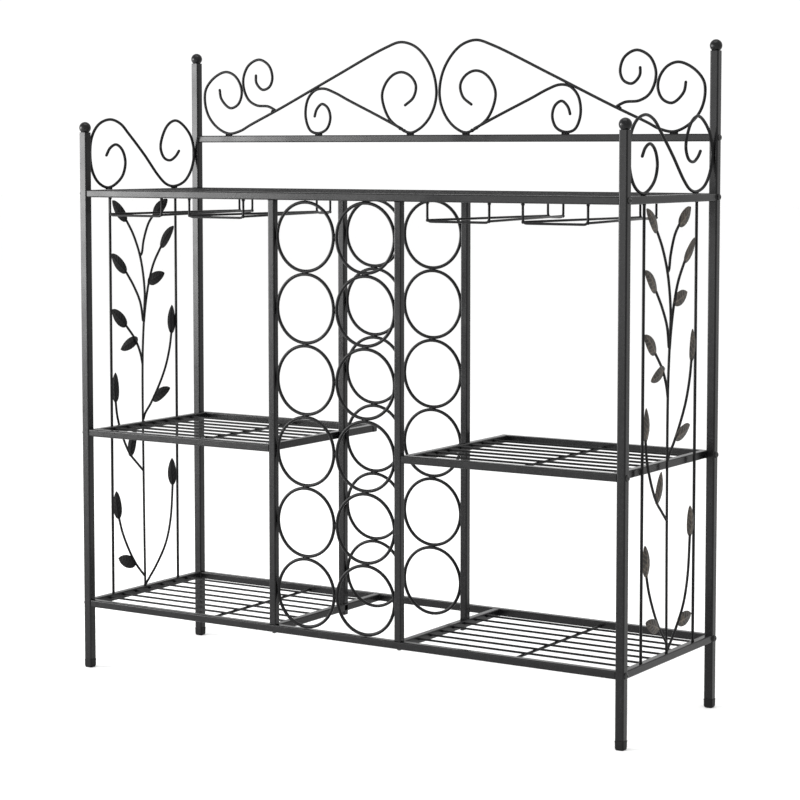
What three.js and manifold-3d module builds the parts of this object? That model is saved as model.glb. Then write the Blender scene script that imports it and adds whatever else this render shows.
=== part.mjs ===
// Baker's-rack style wine rack: two vine-panel side frames, a central bottle tower of wire rings,
// wire shelves each side of it, stemware loops under the top and a scrolled back crest.
// Millimetres, +Z up, origin on the floor at the middle of the footprint, front towards -Y.
import * as THREE from 'three';
import { mergeVertices } from 'three/addons/utils/BufferGeometryUtils.js';
import Module from 'manifold-3d';

const wasm = await Module();
wasm.setup();

// ---- driving dimensions ----
const GAP = 0.3;                       // clearance between touching pieces

const POST = 14;                       // square tube of the corner posts
const POST_X = 500;                    // post centres, half the spacing across the front
const POST_Y = 152;                    // post centres, half the spacing front to back
const FRONT_POST_TOP = 899;
const BACK_POST_TOP = 1022;

const RAIL = 12;                       // square tube of every rail
const BOTTOM_Z = 109.8;                // rail centre heights
const MID_Z = 398.5;
const TOP_Z = 797.7;
const CREST_Z = 889;

const TOWER_X = 118;                   // bottle tower post centres
const TOWER_REAR_Y = 45;
const TOWER_LAP = 18;                  // how far a rear tower post laps the rail below its top

const RING_WIRE = 5;
const RING_OUTER = 111.4;
const RING_COUNT = 6;
const RING_WELD = 0.6;                 // overlap where two rings of a column are welded
const RING_X = 56;                     // centre of each ring column

const FOOT_HEIGHT = 14;
const FOOT_SIZE = 15;
const SPIGOT = 9;                      // square spigot of a foot inside its post
const SPIGOT_DEPTH = 9;

const BALL_RADIUS = 9.8;
const BALL_RISE = 7.2;                 // ball centre above the post top
const STUD_RADIUS = 2.6;
const STUD_DEPTH = 12;

const BOLT_RADIUS = 3;
const BOLT_HOLE_RADIUS = 4.1;
const BOLT_HEAD_RADIUS = 4.8;
const BOLT_HEAD_HEIGHT = 3;
const BOLT_GRIP = 10;                  // shank length beyond the post, inside the rail

const DECK_WIRE = 3.4;
const DECK_WIRE_COUNT = 7;
const DECK_PITCH = 35;
const DECK_DROP = 4.2;                 // wire centre below the rail's upper face
const CROSS_ROD = 4.6;

const SCROLL_ROD = 5;
const VINE_ROD = 4.8;
const VINE_STEM = 4.2;
const LEAF_LENGTH = 50;
const LEAF_WIDTH = 31;
const LEAF_HEEL = 3;                    // how far a leaf reaches back over its twig
const LEAF_THICKNESS = 1.4;

const LOOP_WIRE = 4;
const LOOP_Z = 762;                    // centre height of the stemware loops
const LOOP_FRONT = 108;                // width of a loop at the front
const LOOP_BACK = 28;                  // width of a loop at the back
const LOOP_CENTRES = [-394, -229.5, 222, 387];

// ---- materials ----
function blackPaint(roughness) {
  return new THREE.MeshStandardMaterial({ color: 0x2b2b2c, roughness, metalness: 0.4 });
}
const tubePaint = blackPaint(0.42);
const wirePaint = blackPaint(0.35);
const bronzedPaint = new THREE.MeshStandardMaterial({ color: 0x4a4136, roughness: 0.5, metalness: 0.5 });
const darkPlastic = new THREE.MeshStandardMaterial({ color: 0x1c1c1d, roughness: 0.6, metalness: 0 });
const boltFinish = new THREE.MeshStandardMaterial({ color: 0x303032, roughness: 0.35, metalness: 0.7 });

// ---- solid helpers ----
function signedVolume(positions, triangles) {
  const a = new THREE.Vector3();
  const b = new THREE.Vector3();
  const c = new THREE.Vector3();
  let volume = 0;
  for (let i = 0; i < triangles.length; i += 3) {
    a.fromArray(positions, 3 * triangles[i]);
    b.fromArray(positions, 3 * triangles[i + 1]);
    c.fromArray(positions, 3 * triangles[i + 2]);
    volume += a.dot(b.cross(c)) / 6;
  }
  return volume;
}

function toSolid(geometry) {
  const bare = geometry.clone();
  bare.deleteAttribute('normal');
  bare.deleteAttribute('uv');
  const merged = mergeVertices(bare, 1e-4);
  const vertProperties = new Float32Array(merged.attributes.position.array);
  const triVerts = new Uint32Array(merged.index.array);
  if (signedVolume(vertProperties, triVerts) < 0) {
    for (let i = 0; i < triVerts.length; i += 3) {
      [triVerts[i + 1], triVerts[i + 2]] = [triVerts[i + 2], triVerts[i + 1]];
    }
  }
  return new wasm.Manifold(new wasm.Mesh({ numProp: 3, vertProperties, triVerts }));
}

function toGeometry(solid) {
  const mesh = solid.getMesh();
  const geometry = new THREE.BufferGeometry();
  geometry.setAttribute('position', new THREE.BufferAttribute(new Float32Array(mesh.vertProperties), 3));
  geometry.setIndex(new THREE.BufferAttribute(new Uint32Array(mesh.triVerts), 1));
  geometry.computeVertexNormals();
  return geometry;
}

function join(solids) {
  return solids.reduce((whole, piece) => whole.add(piece));
}

// A box between two corners.
function block(low, high) {
  const size = high.map((value, i) => value - low[i]);
  const middle = high.map((value, i) => (value + low[i]) / 2);
  return toSolid(new THREE.BoxGeometry(...size).translate(...middle));
}

// A round bar between two points.
function roundBar(start, end, radius, sides = 5) {
  const from = new THREE.Vector3(...start);
  const along = new THREE.Vector3(...end).sub(from);
  const geometry = new THREE.CylinderGeometry(radius, radius, along.length(), sides);
  geometry.translate(0, along.length() / 2, 0);
  const up = new THREE.Vector3(0, 1, 0);
  geometry.applyQuaternion(new THREE.Quaternion().setFromUnitVectors(up, along.normalize()));
  return toSolid(geometry.translate(...start));
}

// A rod that follows a smooth curve through flat points; place turns [a, b] into a Vector3.
function bentRod(points, diameter, steps, place) {
  const section = new THREE.Shape(circlePoints(diameter / 2, 4));
  const path = new THREE.CatmullRomCurve3(points.map(place), false, 'centripetal');
  return toSolid(new THREE.ExtrudeGeometry(section, { steps, bevelEnabled: false, extrudePath: path }));
}

function circlePoints(radius, sides) {
  const points = [];
  for (let i = 0; i < sides; i += 1) {
    const angle = (2 * Math.PI * i) / sides;
    points.push(new THREE.Vector2(radius * Math.cos(angle), radius * Math.sin(angle)));
  }
  return points;
}

const rack = new THREE.Group();

function addPart(name, solid, material, position = [0, 0, 0]) {
  const mesh = new THREE.Mesh(toGeometry(solid), material);
  mesh.name = name;
  mesh.position.set(...position);
  rack.add(mesh);
}

const SIDES = [['left', -1], ['right', 1]];
const ENDS = [['front', -1], ['back', 1]];

// ---- corner posts, feet, finials and bolts ----
function boltHole(x0, x1, y, z) {
  return roundBar([x0, y, z], [x1, y, z], BOLT_HOLE_RADIUS);
}

function cornerPost(top, boltLevels) {
  const half = POST / 2;
  let post = block([-half, -half, FOOT_HEIGHT + GAP], [half, half, top]);
  const socket = SPIGOT / 2 + GAP;
  const socketTop = FOOT_HEIGHT + SPIGOT_DEPTH + 2 * GAP;
  post = post.subtract(block([-socket, -socket, 0], [socket, socket, socketTop]));
  post = post.subtract(roundBar([0, 0, top - STUD_DEPTH - 1], [0, 0, top + 1], STUD_RADIUS + 1));
  for (const level of boltLevels) post = post.subtract(boltHole(-POST, POST, 0, level));
  return post;
}

function footCap() {
  const half = FOOT_SIZE / 2;
  const lower = half - 3;
  const outline = [[lower, 0], [half - 0.8, 1.2], [half, 3.4], [half, FOOT_HEIGHT]];
  const profile = [[0, 0], ...outline, [0, FOOT_HEIGHT]];
  const squareRadius = Math.SQRT2;       // a four-sided turned shape reaches out to its corners
  const points = profile.map(([r, z]) => new THREE.Vector2(r * squareRadius, z));
  const cap = new THREE.LatheGeometry(points, 4).rotateX(Math.PI / 2).rotateZ(Math.PI / 4);
  const spigot = SPIGOT / 2;
  const stub = block([-spigot, -spigot, FOOT_HEIGHT - 2], [spigot, spigot, FOOT_HEIGHT + SPIGOT_DEPTH]);
  return toSolid(cap).add(stub);
}

function ballFinial() {
  const seat = Math.sqrt(BALL_RADIUS ** 2 - BALL_RISE ** 2);
  const start = Math.asin(BALL_RISE / BALL_RADIUS);
  const profile = [[0, -STUD_DEPTH], [STUD_RADIUS, -STUD_DEPTH], [STUD_RADIUS, 0], [seat, 0]];
  const steps = 6;
  for (let i = 1; i < steps; i += 1) {
    const angle = -start + ((Math.PI / 2 + start) * i) / steps;
    profile.push([BALL_RADIUS * Math.cos(angle), BALL_RISE + BALL_RADIUS * Math.sin(angle)]);
  }
  profile.push([0, BALL_RISE + BALL_RADIUS]);
  const points = profile.map(([r, z]) => new THREE.Vector2(r, z));
  return toSolid(new THREE.LatheGeometry(points, 8).rotateX(Math.PI / 2));
}

// Button-headed bolt along X; side is -1 or +1 for the outer face it sits on.
function shelfBolt(side) {
  const seat = POST / 2 + GAP;
  const end = -(POST / 2 + BOLT_GRIP);
  const profile = [
    [0, end], [BOLT_RADIUS, end], [BOLT_RADIUS, seat], [BOLT_HEAD_RADIUS, seat],
    [BOLT_HEAD_RADIUS - 0.6, seat + 1.6], [BOLT_HEAD_RADIUS - 2.4, seat + BOLT_HEAD_HEIGHT - 0.3],
    [0, seat + BOLT_HEAD_HEIGHT],
  ];
  const points = profile.map(([r, z]) => new THREE.Vector2(r, z));
  return toSolid(new THREE.LatheGeometry(points, 6).rotateZ((-side * Math.PI) / 2));
}

for (const [end, endSign] of ENDS) {
  const isBack = endSign > 0;
  const top = isBack ? BACK_POST_TOP : FRONT_POST_TOP;
  const levels = isBack ? [BOTTOM_Z, MID_Z, TOP_Z, CREST_Z] : [BOTTOM_Z, MID_Z, TOP_Z];
  const levelNames = ['bottom', 'shelf', 'top', 'crest'];
  for (const [side, sideSign] of SIDES) {
    const place = [sideSign * POST_X, endSign * POST_Y, 0];
    addPart(`post_${end}_${side}`, cornerPost(top, levels), tubePaint, place);
    addPart(`foot_${end}_${side}`, footCap(), darkPlastic, place);
    addPart(`finial_${end}_${side}`, ballFinial(), tubePaint, [place[0], place[1], top + GAP]);
    levels.forEach((level, i) => {
      const name = `bolt_${levelNames[i]}_${end}_${side}`;
      addPart(name, shelfBolt(sideSign), boltFinish, [place[0], place[1], level]);
    });
  }
}

// ---- side rails: top and bottom of each side frame ----
const halfRail = RAIL / 2;
const postFaceX = POST_X - POST / 2;     // inner face of the corner posts
const postFaceY = POST_Y - POST / 2;
const endX = postFaceX - GAP;            // where a rail along X stops
const endY = postFaceY - GAP;

for (const [side, sideSign] of SIDES) {
  for (const [level, z] of [['bottom', BOTTOM_Z], ['top', TOP_Z]]) {
    const rail = block([-halfRail, -endY, -halfRail], [halfRail, endY, halfRail]);
    addPart(`side_rail_${level}_${side}`, rail, tubePaint, [sideSign * POST_X, 0, z]);
  }
}

// ---- welded frames ----
const railY = POST_Y - halfRail;         // inner faces of the front and back rails
const towerFace = TOWER_X + halfRail;    // shelf side of the tower posts

function railAlongX(x0, x1, y, z) {
  return block([x0, y - halfRail, z - halfRail], [x1, y + halfRail, z + halfRail]);
}

function railAlongY(x, y0, y1, z) {
  return block([x - halfRail, y0, z - halfRail], [x + halfRail, y1, z + halfRail]);
}

function drillEnds(frame, xEnds, z) {
  let drilled = frame;
  for (const x of xEnds) {
    const inward = x - Math.sign(x) * (BOLT_GRIP + 1);
    for (const y of [-POST_Y, POST_Y]) drilled = drilled.subtract(boltHole(x + Math.sign(x), inward, y, z));
  }
  return drilled;
}

function bottomFrame() {
  const rails = [-POST_Y, POST_Y].map((y) => railAlongX(-endX, endX, y, BOTTOM_Z));
  for (const sign of [-1, 1]) rails.push(railAlongY(sign * TOWER_X, -railY - 1, railY + 1, BOTTOM_Z));
  let frame = join(rails);
  for (const sign of [-1, 1]) {
    const xs = [sign * TOWER_X, sign * (TOWER_X - RAIL)].sort((a, b) => a - b);
    const reach = halfRail + GAP;
    frame = frame.subtract(block(
      [xs[0], TOWER_REAR_Y - reach, BOTTOM_Z - RAIL],
      [xs[1], TOWER_REAR_Y + reach, BOTTOM_Z + RAIL],
    ));
  }
  return drillEnds(frame, [-endX, endX], BOTTOM_Z);
}

const TOP_BAR_HEIGHT = 7.6;              // the flat bars that carry the top wires over the tower
const topUnder = TOP_Z - halfRail;

function topFrame() {
  const rails = [-POST_Y, POST_Y].map((y) => railAlongX(-endX, endX, y, TOP_Z));
  for (const sign of [-1, 1]) {
    const x = sign * TOWER_X;
    rails.push(block([x - halfRail, -railY - 1, topUnder], [x + halfRail, railY + 1, topUnder + TOP_BAR_HEIGHT]));
  }
  return drillEnds(join(rails), [-endX, endX], TOP_Z);
}

const shelfInner = towerFace + GAP;      // the two shelf frames reach from here to endX
function shelfFrame(sign) {
  const xs = [sign * shelfInner, sign * endX].sort((a, b) => a - b);
  const rails = [-POST_Y, POST_Y].map((y) => railAlongX(xs[0], xs[1], y, MID_Z));
  rails.push(railAlongY(sign * (shelfInner + halfRail), -POST_Y, POST_Y, MID_Z));
  rails.push(railAlongY(sign * (endX - halfRail), -POST_Y, POST_Y, MID_Z));
  return drillEnds(join(rails), [sign * endX], MID_Z);
}

addPart('bottom_frame', bottomFrame(), tubePaint);
addPart('top_frame', topFrame(), tubePaint);
for (const [side, sign] of SIDES) addPart(`shelf_frame_${side}`, shelfFrame(sign), tubePaint);

// ---- wire decks: wires along X over cross rods along Y ----
function wireDeck(x0, x1, railTop, rodXs, drop = DECK_DROP) {
  const z = railTop - drop;
  const rodZ = z - DECK_WIRE / 2 - CROSS_ROD / 2 + 0.5;
  const rodEnd = railY - GAP;
  const bars = rodXs.map((x) => roundBar([x, -rodEnd, rodZ], [x, rodEnd, rodZ], CROSS_ROD / 2));
  for (let i = 0; i < DECK_WIRE_COUNT; i += 1) {
    const y = (i - (DECK_WIRE_COUNT - 1) / 2) * DECK_PITCH;
    bars.push(roundBar([x0, y, z], [x1, y, z], DECK_WIRE / 2));
  }
  return join(bars);
}

const bottomTop = BOTTOM_Z + halfRail;
const midTop = MID_Z + halfRail;
const topTop = TOP_Z + halfRail;
const deckOuter = POST_X - halfRail - GAP;
const bottomInner = towerFace + GAP;
const shelfDeckInner = shelfInner + RAIL + GAP;
const shelfDeckOuter = endX - RAIL - GAP;

addPart('deck_bottom_left', wireDeck(-deckOuter, -bottomInner, bottomTop, [-257]), wirePaint);
addPart('deck_bottom_right', wireDeck(bottomInner, deckOuter, bottomTop, [310]), wirePaint);
addPart('deck_shelf_left', wireDeck(-shelfDeckOuter, -shelfDeckInner, midTop, [-288]), wirePaint);
addPart('deck_shelf_right', wireDeck(shelfDeckInner, shelfDeckOuter, midTop, [315]), wirePaint);
const topDrop = DECK_WIRE / 2 + GAP / 2;
addPart('deck_top', wireDeck(-deckOuter, deckOuter, topTop, [-309, 0, 309], topDrop), wirePaint);

// ---- bottle tower: four posts and four columns of rings ----
const towerFoot = bottomTop + GAP;
const towerHead = topUnder - GAP;

function frontTowerPost() {
  return block([-halfRail, -halfRail, towerFoot], [halfRail, halfRail, towerHead]);
}

// The rear posts are halved over the side of the rail they stand on; inward is the lapped side.
function rearTowerPost(inward) {
  const post = block([-halfRail, -halfRail, towerFoot], [halfRail, halfRail, towerHead]);
  const xs = [inward * GAP, inward * halfRail].sort((a, b) => a - b);
  return post.add(block([xs[0], -halfRail, bottomTop - TOWER_LAP], [xs[1], halfRail, towerFoot + 1]));
}

for (const [side, sign] of SIDES) {
  addPart(`tower_post_front_${side}`, frontTowerPost(), tubePaint, [sign * TOWER_X, -POST_Y, 0]);
  addPart(`tower_post_rear_${side}`, rearTowerPost(-sign), tubePaint, [sign * TOWER_X, TOWER_REAR_Y, 0]);
}

const ringPitch = (towerHead - towerFoot - RING_WELD) / RING_COUNT;

function ringColumn() {
  const wireRadius = RING_WIRE / 2;
  const centre = new THREE.Vector2(RING_OUTER / 2 - wireRadius, 0);
  const profile = circlePoints(wireRadius, 4).map((p) => p.add(centre));
  profile.push(profile[0].clone());
  const ring = new THREE.LatheGeometry(profile, 20).scale(1, 1, (ringPitch + RING_WELD) / RING_OUTER);
  const rings = [];
  for (let i = 0; i < RING_COUNT; i += 1) {
    rings.push(toSolid(ring.clone().translate(0, 0, towerFoot + RING_WELD / 2 + ringPitch * (i + 0.5))));
  }
  return join(rings);
}

for (const [end, y] of [['front', -POST_Y], ['rear', TOWER_REAR_Y]]) {
  for (const [side, sign] of SIDES) addPart(`rings_${end}_${side}`, ringColumn(), wirePaint, [sign * RING_X, y, 0]);
}

// ---- stemware loops hung under the top frame ----
function stemLoop(centre) {
  const radius = LOOP_WIRE / 2;
  const hook = (width, y) => {
    const half = width / 2;
    const corners = [[centre - half, y, towerHead], [centre - half, y, LOOP_Z - radius * 0.6]];
    return [
      roundBar(corners[0], corners[1], radius),
      roundBar([centre + half, y, towerHead], [centre + half, y, LOOP_Z - radius * 0.6], radius),
      roundBar([centre - half - 1, y, LOOP_Z], [centre + half + 1, y, LOOP_Z], radius),
    ];
  };
  const bars = [...hook(LOOP_FRONT, -POST_Y), ...hook(LOOP_BACK, POST_Y)];
  for (const sign of [-1, 1]) {
    const front = [centre + (sign * LOOP_FRONT) / 2, -POST_Y, LOOP_Z];
    const back = [centre + (sign * LOOP_BACK) / 2, POST_Y, LOOP_Z];
    bars.push(roundBar(front, back, radius));
  }
  return join(bars);
}

const loopNames = ['left_outer', 'left_inner', 'right_inner', 'right_outer'];
LOOP_CENTRES.forEach((centre, i) => addPart(`stem_loop_${loopNames[i]}`, stemLoop(centre), wirePaint));

// ---- S-scrolls above the side rails, as [y, z] from the front curl to the back curl ----
const sideScrollPoints = [
  [-99, 859], [-88, 873], [-72, 879], [-56, 870], [-48, 849], [-57, 825], [-92, 807],
  [-121, 817], [-137, 842], [-137, 886], [-119, 911], [-88, 921], [-60, 914], [-38, 897],
  [3, 862], [42, 825], [63, 811], [85, 807], [116, 816], [136, 839], [142, 867],
  [131, 897], [93, 921], [66, 911], [48, 876], [57, 857], [74, 852], [90, 859], [101, 870],
];

for (const [side, sign] of SIDES) {
  const place = ([y, z]) => new THREE.Vector3(0, y, z);
  const scroll = bentRod(sideScrollPoints, SCROLL_ROD, 50, place);
  addPart(`side_scroll_${side}`, scroll, wirePaint, [sign * POST_X, 0, 0]);
}

// ---- back crest: rail and two mirrored scroll panels, as [distance from the middle, z] ----
addPart('crest_rail', drillEnds(railAlongX(-endX, endX, POST_Y, CREST_Z), [-endX, endX], CREST_Z), tubePaint);

const crestMain = [
  [450, 977], [446, 959], [427, 943], [410, 949], [402, 966], [405, 984], [418, 1000], [437, 1006],
  [462, 996], [480, 976], [482, 953], [474, 929], [455, 909], [430, 898.5], [405, 903], [384, 913],
  [320, 941], [210, 992], [104, 1040], [73, 1049], [46, 1042], [25, 1024], [9, 997], [3, 966],
  [7, 942], [19, 920], [36, 905], [54, 898.5], [74, 906], [97, 924], [110, 960], [102, 982],
  [86, 996], [69, 999], [52, 991], [43, 976], [48, 957], [66, 943],
];
const crestUpperCurl = [
  [371, 1001], [370, 986], [357, 974], [342, 979], [336, 994], [343, 1015], [364, 1026],
  [387, 1016], [398, 994], [396, 973], [386, 956], [369, 947], [345, 945], [329, 938],
];
const crestLowerCurl = [
  [248, 925], [243, 939], [232, 948], [220, 941], [215, 924], [222, 906], [239, 898.5], [256, 903],
  [266, 926], [262, 955], [247, 971], [228, 974], [206, 967], [176, 953], [120, 928], [68, 904],
];

for (const [side, sign] of SIDES) {
  const place = ([x, z]) => new THREE.Vector3(sign * x, POST_Y, z);
  const rods = [
    bentRod(crestMain, SCROLL_ROD, 64, place),
    bentRod(crestUpperCurl, SCROLL_ROD, 24, place),
    bentRod(crestLowerCurl, SCROLL_ROD, 28, place),
  ];
  addPart(`crest_scroll_${side}`, join(rods), wirePaint);
}

// ---- vine panels: two straight rods, a stem, its branches and stamped leaves, as [y, z] ----
const vineFoot = bottomTop + GAP;
const vineHead = topUnder - GAP;
const vineRods = [-90, 88];
const vineBranches = [
  [[-4, vineFoot], [-6, 300], [-6, 514], [-1, 590], [1, 626], [-5, 668], [-14, 697], [-30, 728], [-48, 752]],
  [[-11, 688], [-6, 693], [-1, 714], [13, 744], [29, 760]],
  [[-2, 572], [3, 603], [12, 640], [26, 674], [49, 705]],
  [[-4, 575], [-11, 608], [-28, 637], [-50, 664]],
  [[-6, 500], [-12, 521], [-26, 546], [-51, 572]],
  [[-6, 404], [0, 416], [14, 430], [34, 455], [56, 490], [69, 525], [75, 556]],
  [[-6, 316], [-25, 333], [-42, 349], [-60, 378], [-75, 416], [-80, 447]],
  [[-4, 131], [-29, 157], [-48, 185], [-65, 218], [-74, 245]],
  [[-4, vineFoot + 2], [28, 147], [54, 181], [68, 222], [75, 286]],
];
// each leaf: where it is attached and the way it points, in degrees from the back towards up
const vineLeaves = [
  [-48, 752, 137], [29, 759, 34], [48, 704, 43], [13, 643, 17], [-50, 664, 140],
  [-51, 572, 141], [-21, 545, -162], [75, 552, 88], [23, 439, 17], [-79, 445, 90],
  [-41, 348, 72], [-74, 244, 97], [-32, 157, 159], [75, 284, 92], [36, 155, 8],
];
const LEAVES_LEFT = 14;                  // the lowest leaf is on the right panel only

function leafOutline() {
  const half = LEAF_WIDTH / 2;
  const shape = new THREE.Shape();
  shape.moveTo(-LEAF_HEEL, 0);
  shape.quadraticCurveTo(LEAF_LENGTH * 0.1, -half * 1.5, LEAF_LENGTH * 0.55, -half * 0.85);
  shape.quadraticCurveTo(LEAF_LENGTH * 0.82, -half * 0.5, LEAF_LENGTH - LEAF_HEEL, 0);
  shape.quadraticCurveTo(LEAF_LENGTH * 0.82, half * 0.5, LEAF_LENGTH * 0.55, half * 0.85);
  shape.quadraticCurveTo(LEAF_LENGTH * 0.1, half * 1.5, -LEAF_HEEL, 0);
  return shape;
}

function leafPlate(y, z, degrees) {
  const options = { depth: LEAF_THICKNESS, bevelEnabled: false, curveSegments: 2 };
  const plate = new THREE.ExtrudeGeometry(leafOutline(), options);
  plate.translate(0, 0, -LEAF_THICKNESS / 2);
  plate.rotateZ((degrees * Math.PI) / 180);
  plate.applyMatrix4(new THREE.Matrix4().makeBasis(
    new THREE.Vector3(0, 1, 0), new THREE.Vector3(0, 0, 1), new THREE.Vector3(1, 0, 0),
  ));
  return toSolid(plate.translate(0, y, z));
}

function vinePanel(leafCount) {
  const place = ([y, z]) => new THREE.Vector3(0, y, z);
  const rods = vineRods.map((y) => roundBar([0, y, vineFoot], [0, y, vineHead], VINE_ROD / 2));
  const branches = vineBranches.map((points) => bentRod(points, VINE_STEM, 2 * points.length, place));
  const leaves = vineLeaves.slice(0, leafCount).map(([y, z, degrees]) => leafPlate(y, z, degrees));
  return join([...rods, ...branches, ...leaves]);
}

for (const [side, sign] of SIDES) {
  const panel = vinePanel(sign < 0 ? LEAVES_LEFT : vineLeaves.length);
  addPart(`vine_panel_${side}`, panel, bronzedPaint, [sign * POST_X, 0, 0]);
}

export default rack;
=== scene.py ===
import math

import bmesh
import bpy
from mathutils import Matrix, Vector


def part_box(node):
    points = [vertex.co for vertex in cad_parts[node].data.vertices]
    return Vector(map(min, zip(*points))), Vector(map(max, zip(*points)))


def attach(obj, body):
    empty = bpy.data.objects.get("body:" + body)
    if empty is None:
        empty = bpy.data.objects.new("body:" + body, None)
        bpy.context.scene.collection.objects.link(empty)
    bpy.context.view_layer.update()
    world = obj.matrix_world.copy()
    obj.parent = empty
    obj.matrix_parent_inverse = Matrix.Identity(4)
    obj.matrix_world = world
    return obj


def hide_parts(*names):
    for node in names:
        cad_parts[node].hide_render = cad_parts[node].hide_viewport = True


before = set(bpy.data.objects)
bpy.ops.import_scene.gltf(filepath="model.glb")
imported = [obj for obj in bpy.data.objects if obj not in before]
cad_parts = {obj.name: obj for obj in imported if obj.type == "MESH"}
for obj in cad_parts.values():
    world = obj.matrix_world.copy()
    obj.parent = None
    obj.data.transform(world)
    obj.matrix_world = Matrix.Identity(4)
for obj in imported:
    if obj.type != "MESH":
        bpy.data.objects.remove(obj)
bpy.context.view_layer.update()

millimetre = 0.001
sideSigns = {"left": -1, "right": 1}
postEnds = ("front", "back")
towerEnds = ("front", "rear")


def middleOf(node):
    low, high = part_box(node)
    return (low + high) / 2


print("frame loaded:", len(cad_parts), "nodes")

# Finishes, all on Object coordinates so that their grain keeps its real scale

tubeCoat = {
    "colour": (0.0042, 0.0042, 0.0045), "dulled": (0.0085, 0.0085, 0.009),
    "roughness": (0.20, 0.32), "patchScale": 14.0,
    "peelScale": 950.0, "peelDepth": 0.00010, "peelStrength": 0.2, "specular": 0.20,
}
wireCoat = {
    "colour": (0.0035, 0.0035, 0.0038), "dulled": (0.0075, 0.0075, 0.008),
    "roughness": (0.24, 0.38), "patchScale": 22.0,
    "peelScale": 1300.0, "peelDepth": 0.00008, "peelStrength": 0.2, "specular": 0.12,
}
footRubber = {
    "colour": (0.005, 0.005, 0.0052), "dulled": (0.012, 0.0115, 0.011),
    "roughness": (0.42, 0.62), "patchScale": 60.0,
    "peelScale": 1700.0, "peelDepth": 0.00012, "peelStrength": 0.35, "specular": 0.12,
}
boltCoat = {
    "colour": (0.008, 0.008, 0.0085), "dulled": (0.03, 0.029, 0.027),
    "roughness": (0.22, 0.42), "patchScale": 240.0,
    "peelScale": 2600.0, "peelDepth": 0.00006, "peelStrength": 0.3, "specular": 0.4,
}


def addNode(tree, kind, **settings):
    node = tree.nodes.new(kind)
    for key, value in settings.items():
        setattr(node, key, value)
    return node


def noiseNode(tree, coordinates, scale, detail, roughness=0.5):
    noise = addNode(tree, "ShaderNodeTexNoise")
    noise.inputs["Scale"].default_value = scale
    noise.inputs["Detail"].default_value = detail
    noise.inputs["Roughness"].default_value = roughness
    tree.links.new(coordinates, noise.inputs["Vector"])
    return noise.outputs["Fac"]


def rangeNode(tree, value, low, high, toLow, toHigh):
    spread = addNode(tree, "ShaderNodeMapRange", clamp=True)
    for label, number in (("From Min", low), ("From Max", high), ("To Min", toLow), ("To Max", toHigh)):
        spread.inputs[label].default_value = number
    tree.links.new(value, spread.inputs["Value"])
    return spread.outputs["Result"]


def mixColours(tree, factor, first, second):
    mix = addNode(tree, "ShaderNodeMix", data_type="RGBA")
    tree.links.new(factor, mix.inputs["Factor"])
    for socket, colour in (("A", first), ("B", second)):
        colourSocket = [s for s in mix.inputs if s.name == socket and s.type == "RGBA"][0]
        if isinstance(colour, tuple):
            colourSocket.default_value = (*colour, 1)
        else:
            tree.links.new(colour, colourSocket)
    return [s for s in mix.outputs if s.type == "RGBA"][0]


def startMaterial(name):
    material = bpy.data.materials.new(name)
    material.use_nodes = True
    tree = material.node_tree
    shader = [n for n in tree.nodes if n.type == "BSDF_PRINCIPLED"][0]
    place = addNode(tree, "ShaderNodeTexCoord").outputs["Object"]
    return material, tree, shader, place


def addPeel(tree, shader, place, coat):
    bump = addNode(tree, "ShaderNodeBump")
    bump.inputs["Strength"].default_value = coat["peelStrength"]
    bump.inputs["Distance"].default_value = coat["peelDepth"]
    tree.links.new(noiseNode(tree, place, coat["peelScale"], 2), bump.inputs["Height"])
    tree.links.new(bump.outputs["Normal"], shader.inputs["Normal"])


dust = {"finer": 16, "from": 0.52, "to": 0.74}   # finer than the patches, and where it starts and is full


def coatMaterial(name, coat):
    # stoved powder coat: orange-peel skin, slightly dulled patches and fine dust
    material, tree, shader, place = startMaterial(name)
    patches = noiseNode(tree, place, coat["patchScale"], 4, 0.6)
    specks = noiseNode(tree, place, coat["patchScale"] * dust["finer"], 3)
    dusty = rangeNode(tree, specks, dust["from"], dust["to"], 0, 1)
    tree.links.new(rangeNode(tree, patches, 0.3, 0.7, *coat["roughness"]), shader.inputs["Roughness"])
    tree.links.new(mixColours(tree, dusty, coat["colour"], coat["dulled"]), shader.inputs["Base Color"])
    shader.inputs["Specular IOR Level"].default_value = coat["specular"]
    addPeel(tree, shader, place, coat)
    return material


bronzeRub = {
    "ground": (0.010, 0.009, 0.008), "rubbed": (0.27, 0.225, 0.175), "dark": (0.040, 0.030, 0.024),
    "streakScale": 150.0, "grainScale": 900.0, "roughness": (0.34, 0.58), "metallic": 0.55,
    "peelScale": 1100.0, "peelDepth": 0.00015, "peelStrength": 0.5,
}


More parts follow.
